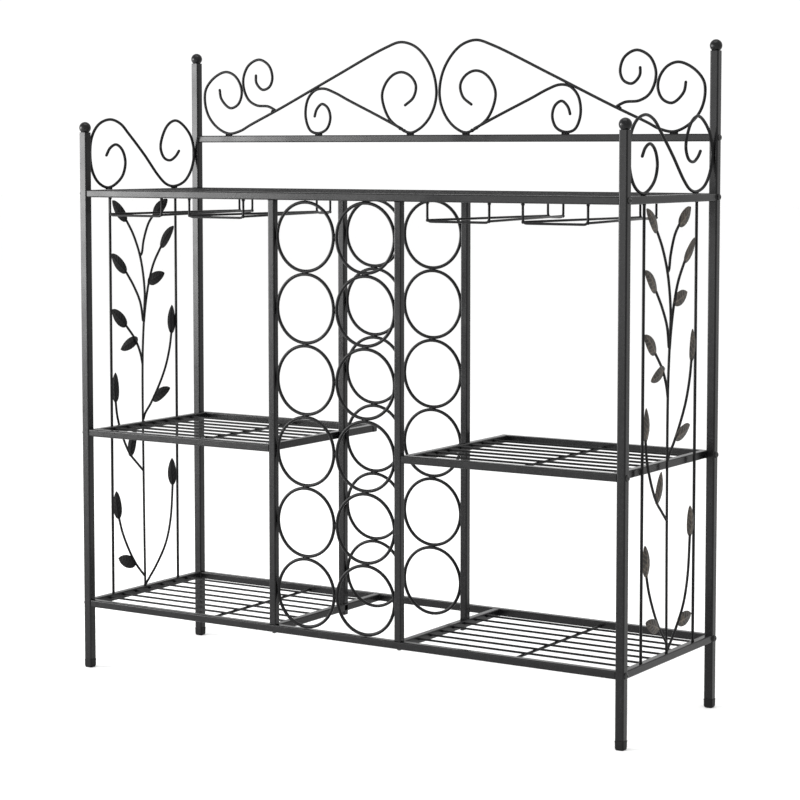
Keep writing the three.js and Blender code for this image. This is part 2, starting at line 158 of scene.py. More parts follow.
def bronzeMaterial():
    # black leaf with bronze wax rubbed over what stands proud: the rib, the veins and the rim
    material, tree, shader, place = startMaterial("rubbed_bronze")
    raised = addNode(tree, "ShaderNodeAttribute", attribute_name="raised").outputs["Fac"]
    stretch = addNode(tree, "ShaderNodeMapping")
    stretch.inputs["Scale"].default_value = (1, 1, 0.45)
    tree.links.new(place, stretch.inputs["Vector"])
    streaks = noiseNode(tree, stretch.outputs["Vector"], bronzeRub["streakScale"], 5, 0.65)
    grain = noiseNode(tree, place, bronzeRub["grainScale"], 3, 0.6)
    blotches = rangeNode(tree, streaks, 0.46, 0.66, 0, 0.6)
    lifted = addNode(tree, "ShaderNodeMath", operation="MULTIPLY_ADD")
    tree.links.new(raised, lifted.inputs[0])
    lifted.inputs[1].default_value = 0.75
    tree.links.new(blotches, lifted.inputs[2])
    broken = addNode(tree, "ShaderNodeMath", operation="MULTIPLY", use_clamp=True)
    tree.links.new(lifted.outputs[0], broken.inputs[0])
    tree.links.new(rangeNode(tree, grain, 0.35, 0.62, 0.25, 1.0), broken.inputs[1])
    wax = mixColours(tree, grain, bronzeRub["dark"], bronzeRub["rubbed"])
    tree.links.new(mixColours(tree, broken.outputs[0], bronzeRub["ground"], wax), shader.inputs["Base Color"])
    tree.links.new(rangeNode(tree, streaks, 0.3, 0.7, *bronzeRub["roughness"]), shader.inputs["Roughness"])
    shader.inputs["Metallic"].default_value = bronzeRub["metallic"]
    addPeel(tree, shader, place, bronzeRub)
    return material


tubePaint = coatMaterial("tube_paint_satin", tubeCoat)
wirePaint = coatMaterial("wire_paint_satin", wireCoat)
footPlastic = coatMaterial("foot_plastic_matt", footRubber)
boltFinish = coatMaterial("bolt_black_oxide", boltCoat)
bronzeLeaf = bronzeMaterial()
print("finishes made")

# Mesh tools shared by the pieces


def finishPiece(piece, nodes):
    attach(piece, "root")
    if nodes:
        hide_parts(*nodes)
    return piece


def closeMesh(mesh, crease):
    # merges touching seams, turns every shell outwards and keeps folds above the crease angle crisp
    work = bmesh.new()
    work.from_mesh(mesh)
    bmesh.ops.remove_doubles(work, verts=work.verts, dist=1e-7)
    bmesh.ops.recalc_face_normals(work, faces=work.faces)
    work.to_mesh(mesh)
    work.free()
    mesh.shade_smooth()
    mesh.set_sharp_from_angle(angle=math.radians(crease))


def meshPiece(name, shape, material, crease=38):
    points, faces = shape
    mesh = bpy.data.meshes.new(name)
    mesh.from_pydata(points, [], faces)
    closeMesh(mesh, crease)
    mesh.materials.append(material)
    piece = bpy.data.objects.new(name, mesh)
    bpy.context.scene.collection.objects.link(piece)
    return piece


def addLoft(shape, rings):
    # skins equal rings listed from the start of the solid to its end, and closes both ends
    points, faces = shape
    first, count = len(points), len(rings[0])
    for ring in rings:
        points.extend(ring)
    for level in range(len(rings) - 1):
        low = first + level * count
        high = low + count
        for k in range(count):
            following = (k + 1) % count
            faces.append((low + k, low + following, high + following, high + k))
    last = first + (len(rings) - 1) * count
    faces.append(tuple(first + k for k in reversed(range(count))))
    faces.append(tuple(last + k for k in range(count)))


def boxSection(width, height, corner, steps=4, hold=0.0005):
    # rounded rectangle with a holding point beside each corner, so the flats shade flat
    outline = []
    for index, (across, up) in enumerate(((1, 1), (-1, 1), (-1, -1), (1, -1))):
        centre = Vector((across * (width / 2 - corner), up * (height / 2 - corner)))
        arc = []
        for k in range(steps + 1):
            angle = math.pi / 2 * (index + k / steps)
            arc.append((angle, centre + corner * Vector((math.cos(angle), math.sin(angle)))))
        along = [Vector((-math.sin(angle), math.cos(angle))) for angle in (arc[0][0], arc[-1][0])]
        outline += [arc[0][1] - along[0] * hold, *(p for angle, p in arc), arc[-1][1] + along[1] * hold]
    return outline


axisFrames = {                                 # section right, section up, direction of travel
    "x": (Vector((0, 1, 0)), Vector((0, 0, 1)), Vector((1, 0, 0))),
    "y": (Vector((0, 0, 1)), Vector((1, 0, 0)), Vector((0, 1, 0))),
    "z": (Vector((1, 0, 0)), Vector((0, 1, 0)), Vector((0, 0, 1))),
}
tubeStock = {"corner": 1.7 * millimetre, "chamfer": 0.35 * millimetre}


def addTube(shape, axis, low, high, corner=tubeStock["corner"]):
    # one length of square tube that fills the box from low to high
    right, up, ahead = axisFrames[axis]
    size = high - low
    centre = (low + high) / 2
    length, width, height = size.dot(ahead), size.dot(right), size.dot(up)
    chamfer = tubeStock["chamfer"]
    rings = []
    for travel, inset in ((0, chamfer), (chamfer, 0), (length - chamfer, 0), (length, chamfer)):
        outline = boxSection(width - 2 * inset, height - 2 * inset, corner - inset)
        rings.append([centre + ahead * (travel - length / 2) + right * p.x + up * p.y for p in outline])
    addLoft(shape, rings)


def turnedRings(profile, centre, segments, reach=lambda angle: 1.0):
    # rings of a turned shape from its (radius, height) profile
    rings = []
    for radius, height in profile:
        ring = []
        for k in range(segments):
            angle = 2 * math.pi * k / segments
            stretch = radius * reach(angle)
            ring.append(centre + Vector((stretch * math.cos(angle), stretch * math.sin(angle), height)))
        rings.append(ring)
    return rings


# Geometry Nodes tools


def startTree(name, inputs):
    tree = bpy.data.node_groups.new(name, "GeometryNodeTree")
    tree.interface.new_socket("Geometry", in_out="INPUT", socket_type="NodeSocketGeometry")
    for label, kind in inputs:
        tree.interface.new_socket(label, in_out="INPUT", socket_type="NodeSocket" + kind)
    tree.interface.new_socket("Geometry", in_out="OUTPUT", socket_type="NodeSocketGeometry")
    source = tree.nodes.new("NodeGroupInput")
    return tree, source.outputs


def link(tree, start, node, socket):
    tree.links.new(start, node.inputs[socket])
    return node


def endTree(tree, geometry, material):
    # every tree ends alike: smooth faces, real meshes for the instances, then the finish
    smooth = link(tree, geometry, tree.nodes.new("GeometryNodeSetShadeSmooth"), "Geometry")
    real = link(tree, smooth.outputs[0], tree.nodes.new("GeometryNodeRealizeInstances"), 0)
    painted = link(tree, real.outputs[0], tree.nodes.new("GeometryNodeSetMaterial"), "Geometry")
    tree.links.new(material, painted.inputs["Material"])
    result = tree.nodes.new("NodeGroupOutput")
    tree.links.new(painted.outputs[0], result.inputs[0])
    return tree


def readValue(tree, label, kind="FLOAT"):
    # a named value that the guide mesh holds at each point
    named = addNode(tree, "GeometryNodeInputNamedAttribute", data_type=kind)
    named.inputs["Name"].default_value = label
    return named.outputs["Attribute"]


def placeOn(tree, points, instance):
    place = link(tree, points, tree.nodes.new("GeometryNodeInstanceOnPoints"), "Points")
    tree.links.new(instance, place.inputs["Instance"])
    return place


def joinAll(tree, geometries):
    join = tree.nodes.new("GeometryNodeJoinGeometry")
    for geometry in geometries:
        tree.links.new(geometry, join.inputs[0])
    return join.outputs[0]


def runTree(name, guide, tree, values, crease=38):
    # sets the inputs by identifier, evaluates once and keeps the result as a plain mesh
    maker = bpy.data.objects.new(name + "_guide", guide)
    bpy.context.scene.collection.objects.link(maker)
    modifier = maker.modifiers.new("make", "NODES")
    modifier.node_group = tree
    for item in tree.interface.items_tree:
        if item.in_out == "INPUT" and item.name in values:
            modifier[item.identifier] = values[item.name]
    bpy.context.view_layer.update()
    evaluated = maker.evaluated_get(bpy.context.evaluated_depsgraph_get())
    mesh = bpy.data.meshes.new_from_object(evaluated)
    maker.modifiers.remove(modifier)
    bpy.data.objects.remove(maker)
    mesh.name = name
    closeMesh(mesh, crease)
    piece = bpy.data.objects.new(name, mesh)
    bpy.context.scene.collection.objects.link(piece)
    return piece


def guideMesh(name, points, edges=(), numbers=None, vectors=None):
    # points that a tree works on, with the named values that it reads at each one
    mesh = bpy.data.meshes.new(name)
    mesh.from_pydata([tuple(p) for p in points], list(edges), [])
    for label, values in (numbers or {}).items():
        mesh.attributes.new(label, "FLOAT", "POINT").data.foreach_set("value", values)
    for label, values in (vectors or {}).items():
        flat = [component for value in values for component in value]
        mesh.attributes.new(label, "FLOAT_VECTOR", "POINT").data.foreach_set("vector", flat)
    return mesh


def rodTree():
    # bent wire: sweeps a round section along each path, drawn in where the path's taper says
    tree, given = startTree("bent_rod", [("Radius", "Float"), ("Sides", "Int"), ("Material", "Material")])
    path = link(tree, given["Geometry"], tree.nodes.new("GeometryNodeMeshToCurve"), "Mesh")
    section = tree.nodes.new("GeometryNodeCurvePrimitiveCircle")
    tree.links.new(given["Radius"], section.inputs["Radius"])
    tree.links.new(given["Sides"], section.inputs["Resolution"])
    sweep = link(tree, path.outputs[0], tree.nodes.new("GeometryNodeCurveToMesh"), "Curve")
    tree.links.new(section.outputs["Curve"], sweep.inputs["Profile Curve"])
    tree.links.new(readValue(tree, "taper"), sweep.inputs["Scale"])
    sweep.inputs["Fill Caps"].default_value = True
    return endTree(tree, sweep.outputs[0], given["Material"])


bentRodTree = rodTree()


def smoothPath(points, steps=8):
    # centripetal spline through the bending points
    ends = [2 * points[0] - points[1], *points, 2 * points[-1] - points[-2]]
    path = []
    for before, start, stop, after in zip(ends, ends[1:], ends[2:], ends[3:]):
        gaps = [math.sqrt((b - a).length) for a, b in ((before, start), (start, stop), (stop, after))]
        leave = (start - before) / gaps[0] - (stop - before) / (gaps[0] + gaps[1]) + (stop - start) / gaps[1]
        arrive = (stop - start) / gaps[1] - (after - start) / (gaps[1] + gaps[2]) + (after - stop) / gaps[2]
        for k in range(steps):
            t = k / steps
            path.append(
                start * (2 * t**3 - 3 * t**2 + 1) + leave * gaps[1] * (t**3 - 2 * t**2 + t)
                + stop * (3 * t**2 - 2 * t**3) + arrive * gaps[1] * (t**3 - t**2)
            )
    path.append(points[-1])
    return path


def roundedPath(points, radius, steps=6):
    # straight runs joined by bends
    path = [points[0]]
    for before, corner, after in zip(points, points[1:], points[2:]):
        start = corner + (before - corner).normalized() * radius
        stop = corner + (after - corner).normalized() * radius
        for k in range(steps + 1):
            t = k / steps
            path.append(start * (1 - t) ** 2 + corner * 2 * t * (1 - t) + stop * t**2)
    path.append(points[-1])
    return path


def domeEnd(path, radius, steps=5):
    # replaces the last radius of a path by points that close the rod with a dome
    tip, before = path[0], path[1]
    ahead = (before - tip).normalized()
    dome = []
    for k in range(steps):
        angle = math.pi / 2 * (k + 0.3) / steps
        dome.append((tip + ahead * radius * (1 - math.cos(angle)), math.sin(angle)))
    return dome


def rodPiece(name, paths, radius, material, sides=16):
    points, edges, tapers = [], [], []
    for path in paths:
        start, finish = domeEnd(path, radius), domeEnd(path[::-1], radius)[::-1]
        inner = [(p, 1.0) for p in path[1:-1]
                 if (p - path[0]).length > radius and (p - path[-1]).length > radius]
        run = start + inner + finish
        first = len(points)
        points += [p for p, taper in run]
        tapers += [taper for p, taper in run]
        edges += [(first + k, first + k + 1) for k in range(len(run) - 1)]
    guide = guideMesh(name + "_path", points, edges, numbers={"taper": tapers})
    return runTree(name, guide, bentRodTree, {"Radius": radius, "Sides": sides, "Material": material}, 50)


print("tools ready")

# Corner posts, feet and ball finials

footShape = {                                  # (half width, height above the floor) in millimetres
    "profile": ((4.6, 0.0), (5.6, 0.25), (6.5, 1.1), (7.0, 2.6), (7.2, 4.4), (7.3, 11.6), (7.45, 12.2),
                (7.45, 13.6), (7.2, 14.0)),
    "cornerShare": 0.15,                       # corner radius as a share of the width
}
postCorner = 2.0 * millimetre
finialShape = {
    "radius": 9.7, "collarRadius": 6.5, "collarHeight": 1.5, "neckRadius": 5.4, "segments": 40, "steps": 18,
}


def buildPost(end, side):
    node = f"post_{end}_{side}"
    low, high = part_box(node)
    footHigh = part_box(f"foot_{end}_{side}")[0].z + footShape["profile"][-1][1] * millimetre
    low = Vector((low.x, low.y, max(low.z, footHigh)))
    shape = ([], [])
    addTube(shape, "z", low, high, postCorner)
    finishPiece(meshPiece(f"corner_post_{end}_{side}", shape, tubePaint), [node])


def buildFoot(end, side):
    node = f"foot_{end}_{side}"
    centre = middleOf(node)
    centre.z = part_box(node)[0].z
    rings = []
    for half, height in footShape["profile"]:
        width = 2 * half * millimetre
        outline = boxSection(width, width, width * footShape["cornerShare"], hold=0.0003)
        rings.append([centre + Vector((p.x, p.y, height * millimetre)) for p in outline])
    shape = ([], [])
    addLoft(shape, rings)
    finishPiece(meshPiece(f"foot_cap_{end}_{side}", shape, footPlastic, 50), [node])


def buildFinial(end, side):
    node = f"finial_{end}_{side}"
    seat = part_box(f"post_{end}_{side}")[1].z
    radius = finialShape["radius"]
    ballHeight = (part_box(node)[1].z - seat) / millimetre - radius
    neck = finialShape["neckRadius"]
    collar, rise = finialShape["collarRadius"], finialShape["collarHeight"]
    profile = [
        (collar - 0.5, 0.05), (collar, 0.35), (collar, rise - 0.4), (collar - 0.5, rise), (neck, rise + 0.1),
    ]
    start = -math.acos(neck / radius)
    for k in range(finialShape["steps"] + 1):
        angle = start + (math.pi / 2 - 0.04 - start) * k / finialShape["steps"]
        profile.append((radius * math.cos(angle), ballHeight + radius * math.sin(angle)))
    centre = middleOf(node)
    centre.z = seat
    scaled = [(r * millimetre, h * millimetre) for r, h in profile]
    shape = ([], [])
    addLoft(shape, turnedRings(scaled, centre, finialShape["segments"]))
    finishPiece(meshPiece(f"ball_finial_{end}_{side}", shape, tubePaint, 45), [node])


for end in postEnds:
    for side in sideSigns:
        buildPost(end, side)
        buildFoot(end, side)
        buildFinial(end, side)
print("posts, feet and finials built")

# Rails and welded frames

rail = 12 * millimetre
topBarHeight = 7.6 * millimetre                # flat bars that carry the top wires over the tower
weldSize = {                                   # radii of the nuggets at each kind of joint, in millimetres
    "corner": 1.1, "post": 0.8, "scroll": 1.5, "wireEnd": 2.1, "crossing": 2.4, "rodEnd": 2.8,
    "loopBend": 2.6, "loopEnd": 2.8, "vineEnd": 2.7, "crest": 3.3, "spacing": 1.5, "cornerShort": 1.0,
}
beads = []                                     # place and radius of every nugget; one tree makes them all


def addBead(place, joint):
    beads.append((place, weldSize[joint] * millimetre))


def addSeam(start, stop, joint):
    # a row of weld nuggets from start to stop
    count = max(2, round((stop - start).length / (weldSize["spacing"] * millimetre)))
    for k in range(count + 1):
        addBead(start.lerp(stop, k / count), joint)


def weldCrossRail(low, high):
    # a seam up each corner where the rail's ends meet the long rails, a little short of its top and bottom
    short = weldSize["cornerShort"] * millimetre
    for y in (low.y, high.y):
        for x in (low.x, high.x):
            addSeam(Vector((x, y, low.z + short)), Vector((x, y, high.z - short)), "corner")


def buildFrame(name, node, crossRails, longRails):
    shape = ([], [])
    for low, high in longRails:
        addTube(shape, "x", low, high)
    for low, high in crossRails:
        addTube(shape, "y", low, high)
        weldCrossRail(low, high)
    finishPiece(meshPiece(name, shape, tubePaint), [node])


def buildBar(name, node, axis):
    shape = ([], [])
    addTube(shape, axis, *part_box(node))
    finishPiece(meshPiece(name, shape, tubePaint), [node])


def longPair(low, high):
    # the front and back rails of a frame that fills the box from low to high
    front = (low, Vector((high.x, low.y + rail, high.z)))
    back = (Vector((low.x, high.y - rail, low.z)), high)
    return [front, back]


for side in sideSigns:
    for level in ("bottom", "top"):
        buildBar(f"end_rail_{level}_{side}", f"side_rail_{level}_{side}", "y")

towerXs = [middleOf(f"tower_post_front_{side}").x for side in sideSigns]
for level, height in (("bottom", rail), ("top", topBarHeight)):
    low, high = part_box(f"{level}_frame")
    crossRails = [
        (Vector((x - rail / 2, low.y + rail, low.z)), Vector((x + rail / 2, high.y - rail, low.z + height)))
        for x in towerXs
    ]
    buildFrame(f"{level}_rails", f"{level}_frame", crossRails, longPair(low, high))

for side in sideSigns:
    low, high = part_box(f"shelf_frame_{side}")
    crossRails = [(Vector((x, low.y + rail, low.z)), Vector((x + rail, high.y - rail, high.z)))
                  for x in (low.x, high.x - rail)]
    buildFrame(f"shelf_rails_{side}", f"shelf_frame_{side}", crossRails, longPair(low, high))

buildBar("crest_bar", "crest_rail", "x")


towerPost = {"lapRise": 2.0, "weldInset": 1.0, "weldShort": 0.5}   # millimetres


def buildTowerPost(end, side):
    # stands on the rail, as the rings do; a rear post's inner half runs on down beside the cross rail
    node = f"tower_post_{end}_{side}"
    low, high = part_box(node)
    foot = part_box("rings_front_left")[0].z
    inset, short = towerPost["weldInset"] * millimetre, towerPost["weldShort"] * millimetre
    shape = ([], [])
    addTube(shape, "z", Vector((low.x, low.y, foot)), high)
    if end == "rear":
        inner = (low.x + high.x) / 2
        start, stop = (inner, high.x) if side == "left" else (low.x, inner)
        lapTop = foot + towerPost["lapRise"] * millimetre
        addTube(shape, "z", Vector((start, low.y, low.z)), Vector((stop, high.y, lapTop)))
    for x in (low.x + inset, high.x - inset):
        for z in (foot, high.z):
            addSeam(Vector((x, low.y + short, z)), Vector((x, high.y - short, z)), "post")
    finishPiece(meshPiece(f"bottle_post_{end}_{side}", shape, tubePaint), [node])


for side in sideSigns:
    for end in towerEnds:
        buildTowerPost(end, side)
print("rails, frames and bottle posts built")

# Wire decks

deckWires = {
    "wireRadius": 1.75, "pitch": 35.0, "count": 7, "crossRadius": 2.2, "sides": 16,
    "pressed": 0.4, "endWeldInset": 0.6, "rodWeldInset": 0.8, "crossRods": {
        "bottom_left": (-257,), "bottom_right": (310,), "shelf_left": (-288,), "shelf_right": (315,),
        "top": (-309, 0, 309),
    },
}


def deckTree():
    # straight wires side by side, and a cross rod under them at each guide point
    tree, given = startTree("wire_deck", [
        ("Wires", "Int"), ("Pitch", "Float"), ("Wire radius", "Float"), ("Wire length", "Float"),
        ("First wire", "Vector"), ("Rod radius", "Float"), ("Rod length", "Float"), ("Material", "Material"),
    ])
    step = tree.nodes.new("ShaderNodeCombineXYZ")
    tree.links.new(given["Pitch"], step.inputs["Y"])
    row = link(tree, given["Wires"], tree.nodes.new("GeometryNodeMeshLine"), "Count")
    tree.links.new(given["First wire"], row.inputs["Start Location"])
    tree.links.new(step.outputs[0], row.inputs["Offset"])
    sets = []
    for radius, length, points, turn in (
        ("Wire radius", "Wire length", row.outputs[0], (0, math.pi / 2, 0)),
        ("Rod radius", "Rod length", given["Geometry"], (math.pi / 2, 0, 0)),
    ):
        bar = tree.nodes.new("GeometryNodeMeshCylinder")
        bar.inputs["Vertices"].default_value = deckWires["sides"]
        tree.links.new(given[radius], bar.inputs["Radius"])
        tree.links.new(given[length], bar.inputs["Depth"])
        place = placeOn(tree, points, bar.outputs["Mesh"])
        place.inputs["Rotation"].default_value = turn
        sets.append(place.outputs[0])
    return endTree(tree, joinAll(tree, sets), given["Material"])


wireDeckTree = deckTree()


def buildDeck(name):
    node = f"deck_{name}"
    low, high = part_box(node)
    radius, crossRadius = deckWires["wireRadius"] * millimetre, deckWires["crossRadius"] * millimetre
    pitch, count = deckWires["pitch"] * millimetre, deckWires["count"]
    wireZ = high.z - radius
    rodZ = wireZ - radius - crossRadius + deckWires["pressed"] * millimetre
    rods = [Vector((x * millimetre, 0, rodZ)) for x in deckWires["crossRods"][name]]
    centreX = (low.x + high.x) / 2
    first = Vector((centreX, -pitch * (count - 1) / 2, wireZ))
    piece = runTree(f"wire_deck_{name}", guideMesh(node + "_rods", rods), wireDeckTree, {
        "Wires": count, "Pitch": pitch, "Wire radius": radius, "Wire length": high.x - low.x,
        "First wire": first, "Rod radius": crossRadius, "Rod length": high.y - low.y, "Material": wirePaint,
    }, 40)
    finishPiece(piece, [node])
    inset, rodInset = deckWires["endWeldInset"] * millimetre, deckWires["rodWeldInset"] * millimetre
    for k in range(count):
        y = first.y + pitch * k
        for x in (low.x + inset, high.x - inset):
            addBead(Vector((x, y, wireZ - inset)), "wireEnd")
        for rod in rods:
            addBead(Vector((rod.x, y, wireZ - radius)), "crossing")
    for rod in rods:
        for y in (low.y + rodInset, high.y - rodInset):
            addBead(Vector((rod.x, y, rod.z)), "rodEnd")


for name in deckWires["crossRods"]:
    buildDeck(name)
print("wire decks built")

# Bottle rings

bottleRings = {
    "count": 6, "wireRadius": 2.6, "overlap": 0.6, "segments": 72, "sides": 14, "nugget": 3.0,
    "endInset": 1.2, "sideInset": 0.5,         # how far the outer nuggets sit inside the column's box
    "endShape": (1.5, 0.72, 0.55), "stackShape": (1.5, 0.72, 0.75), "sideShape": (0.42, 0.7, 1.35),
}


def ringTree():
    # rings one above another, with a weld between neighbours and at both sides of each
    tree, given = startTree("ring_column", [
        ("Rings", "Int"), ("Pitch", "Float"), ("Centre", "Vector"), ("Ring radius", "Float"),
        ("Wire radius", "Float"), ("Tallness", "Float"), ("Nugget", "Float"), ("Material", "Material"),
    ])
    step = tree.nodes.new("ShaderNodeCombineXYZ")
    tree.links.new(given["Pitch"], step.inputs["Z"])
    hoop = tree.nodes.new("GeometryNodeCurvePrimitiveCircle")
    hoop.inputs["Resolution"].default_value = bottleRings["segments"]
    tree.links.new(given["Ring radius"], hoop.inputs["Radius"])
    section = tree.nodes.new("GeometryNodeCurvePrimitiveCircle")
    section.inputs["Resolution"].default_value = bottleRings["sides"]
    tree.links.new(given["Wire radius"], section.inputs["Radius"])
    wire = link(tree, hoop.outputs["Curve"], tree.nodes.new("GeometryNodeCurveToMesh"), "Curve")
    tree.links.new(section.outputs["Curve"], wire.inputs["Profile Curve"])
    stretch = tree.nodes.new("ShaderNodeCombineXYZ")
    stretch.inputs["X"].default_value = 1
    stretch.inputs["Z"].default_value = 1
    tree.links.new(given["Tallness"], stretch.inputs["Y"])
    places = link(tree, given["Rings"], tree.nodes.new("GeometryNodeMeshLine"), "Count")
    tree.links.new(given["Centre"], places.inputs["Start Location"])
    tree.links.new(step.outputs[0], places.inputs["Offset"])
    rings = placeOn(tree, places.outputs[0], wire.outputs[0])
    rings.inputs["Rotation"].default_value = (math.pi / 2, 0, 0)
    tree.links.new(stretch.outputs[0], rings.inputs["Scale"])
    nugget = tree.nodes.new("GeometryNodeMeshIcoSphere")
    nugget.inputs["Subdivisions"].default_value = 3
    tree.links.new(given["Nugget"], nugget.inputs["Radius"])
    welds = placeOn(tree, given["Geometry"], nugget.outputs["Mesh"])
    tree.links.new(readValue(tree, "squash", "FLOAT_VECTOR"), welds.inputs["Scale"])
    return endTree(tree, joinAll(tree, [rings.outputs[0], welds.outputs[0]]), given["Material"])


ringColumnTree = ringTree()


def buildRings(end, side):
    node = f"rings_{end}_{side}"
    low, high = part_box(node)
    count, wireRadius = bottleRings["count"], bottleRings["wireRadius"] * millimetre
    overlap = bottleRings["overlap"] * millimetre
    pitch = (high.z - low.z - overlap) / count
    width = high.x - low.x
    firstRing = middleOf(node)
    firstRing.z = low.z + pitch / 2 + overlap / 2
    endInset = bottleRings["endInset"] * millimetre
    sideReach = width / 2 - bottleRings["sideInset"] * millimetre
    places, squashes = [], []
    for k in range(count + 1):
        inset = {0: endInset, count: -endInset}.get(k, 0)
        places.append(firstRing + Vector((0, 0, pitch * (k - 0.5) + inset)))
        squashes.append(bottleRings["endShape" if inset else "stackShape"])
    for k in range(count):
        for across in (-1, 1):
            places.append(firstRing + Vector((across * sideReach, 0, pitch * k)))
            squashes.append(bottleRings["sideShape"])
    guide = guideMesh(node + "_welds", places, vectors={"squash": squashes})
    piece = runTree(f"bottle_rings_{end}_{side}", guide, ringColumnTree, {
        "Rings": count, "Pitch": pitch, "Centre": firstRing, "Ring radius": width / 2 - wireRadius,
        "Wire radius": wireRadius, "Tallness": (pitch + overlap) / width,
        "Nugget": bottleRings["nugget"] * millimetre, "Material": wirePaint,
    }, 50)
    finishPiece(piece, [node])


for end in towerEnds:
    for side in sideSigns:
        buildRings(end, side)
print("bottle rings built")

# Stemware loops

stemLoops = {"names": ("left_outer", "left_inner", "right_inner", "right_outer"),
             "wireRadius": 1.95, "bend": 7.0, "backWidth": 28.0, "railLift": 2.1, "weldInset": 1.0}


def buildStemLoop(name):
    node = f"stem_loop_{name}"
    low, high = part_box(node)
    radius = stemLoops["wireRadius"] * millimetre
    bend = stemLoops["bend"] * millimetre
    inset = Vector((radius, radius, radius))
    innerLow, innerHigh = low + inset, high - inset
    centreX = (low.x + high.x) / 2
    halfBack = stemLoops["backWidth"] * millimetre / 2
    loopZ, headZ = innerLow.z, high.z
    railZ = loopZ + stemLoops["railLift"] * millimetre
    weldZ = headZ - stemLoops["weldInset"] * millimetre
    halves = ((innerHigh.x - innerLow.x) / 2, innerLow.y), (halfBack, innerHigh.y)
    paths = []
    for half, y in halves:
        corners = [Vector((centreX + across * half, y, z)) for across, z in
                   ((-1, headZ), (-1, loopZ), (1, loopZ), (1, headZ))]
        paths.append(roundedPath(corners, bend))
    for across in (-1, 1):
        front = Vector((centreX + across * halves[0][0], halves[0][1], railZ))
        back = Vector((centreX + across * halves[1][0], halves[1][1], railZ))
        paths.append([front, front.lerp(back, 0.5), back])
        for place in (front, back):
            addBead(place, "loopBend")
    for half, y in halves:
        for across in (-1, 1):
            addBead(Vector((centreX + across * half, y, weldZ)), "loopEnd")
    piece = rodPiece(f"glass_loop_{name}", paths, radius, wirePaint, 14)
    finishPiece(piece, [node])


for name in stemLoops["names"]:
    buildStemLoop(name)
print("stemware loops built")

# Scrolls above the end rails, as (y, z) in millimetres from the front curl to the back curl

endScroll = {
    "rodRadius": 2.42,
    "bends": (
        (-99, 859), (-88, 873), (-72, 879), (-56, 870), (-48, 849), (-57, 825), (-92, 807),
        (-121, 817), (-137, 842), (-137, 886), (-119, 911), (-88, 921), (-60, 914), (-38, 897),
        (3, 862), (42, 825), (63, 811), (85, 807), (116, 816), (136, 839), (142, 867),
        (131, 897), (93, 921), (66, 911), (48, 876), (57, 857), (74, 852), (90, 859), (101, 870),
    ),
    "feet": ((-92, 805.2), (85, 805.2)), "halfSeam": 7.0,
}
halfSeam = Vector((0, endScroll["halfSeam"] * millimetre, 0))
for side in sideSigns:
    node = f"side_scroll_{side}"
    x = middleOf(node).x
    path = smoothPath([Vector((x, y * millimetre, z * millimetre)) for y, z in endScroll["bends"]])
    piece = rodPiece(f"end_scroll_{side}", [path], endScroll["rodRadius"] * millimetre, wirePaint, 18)
    finishPiece(piece, [node])
    for y, z in endScroll["feet"]:
        foot = Vector((x, y * millimetre, z * millimetre))
        addSeam(foot - halfSeam, foot + halfSeam, "scroll")

# Crest scrolls above the back rail, as (distance from the middle, z) in millimetres

crestScroll = {
    "rodRadius": 2.38,
    "main": (
        (450, 977), (446, 959), (427, 943), (410, 949), (402, 966), (405, 984), (418, 1000), (437, 1006),
        (462, 996), (480, 976), (482, 953), (474, 929), (455, 909), (430, 898.5), (405, 903), (384, 913),
        (320, 941), (210, 992), (104, 1040), (73, 1049), (46, 1042), (25, 1024), (9, 997), (3, 966),
        (7, 942), (19, 920), (36, 905), (54, 898.5), (74, 906), (97, 924), (110, 960), (102, 982),
        (86, 996), (69, 999), (52, 991), (43, 976), (48, 957), (66, 943),
    ),
    "upperCurl": (
        (371, 1001), (370, 986), (357, 974), (342, 979), (336, 994), (343, 1015), (364, 1026),
        (387, 1016), (398, 994), (396, 973), (386, 956), (369, 947), (345, 945), (329, 938),
    ),
    "lowerCurl": (
        (248, 925), (243, 939), (232, 948), (220, 941), (215, 924), (222, 906), (239, 898.5), (256, 903),
        (266, 926), (262, 955), (247, 971), (228, 974), (206, 967), (176, 953), (120, 928), (68, 904),
    ),
    "feet": ((430, 896.2), (54, 896.2), (239, 896.2)), "halfSeam": 6.0,
    "joints": ((336, 935.5), (74, 906), (66, 902)),
}
halfSeam = Vector((crestScroll["halfSeam"] * millimetre, 0, 0))
for side, sign in sideSigns.items():
    node = f"crest_scroll_{side}"
    y = middleOf(node).y
    paths = [
        smoothPath([Vector((sign * x * millimetre, y, z * millimetre)) for x, z in crestScroll[rod]])
        for rod in ("main", "upperCurl", "lowerCurl")
    ]
    piece = rodPiece(f"crest_rods_{side}", paths, crestScroll["rodRadius"] * millimetre, wirePaint, 18)
    finishPiece(piece, [node])
    for x, z in crestScroll["feet"]:
        foot = Vector((sign * x * millimetre, y, z * millimetre))
        addSeam(foot - halfSeam, foot + halfSeam, "scroll")
    for x, z in crestScroll["joints"]:
        addBead(Vector((sign * x * millimetre, y, z * millimetre)), "crest")
print("scrolls built")

# Vine panels: two straight rods, a stem with branches, and pressed leaves, as (y, z) in millimetres

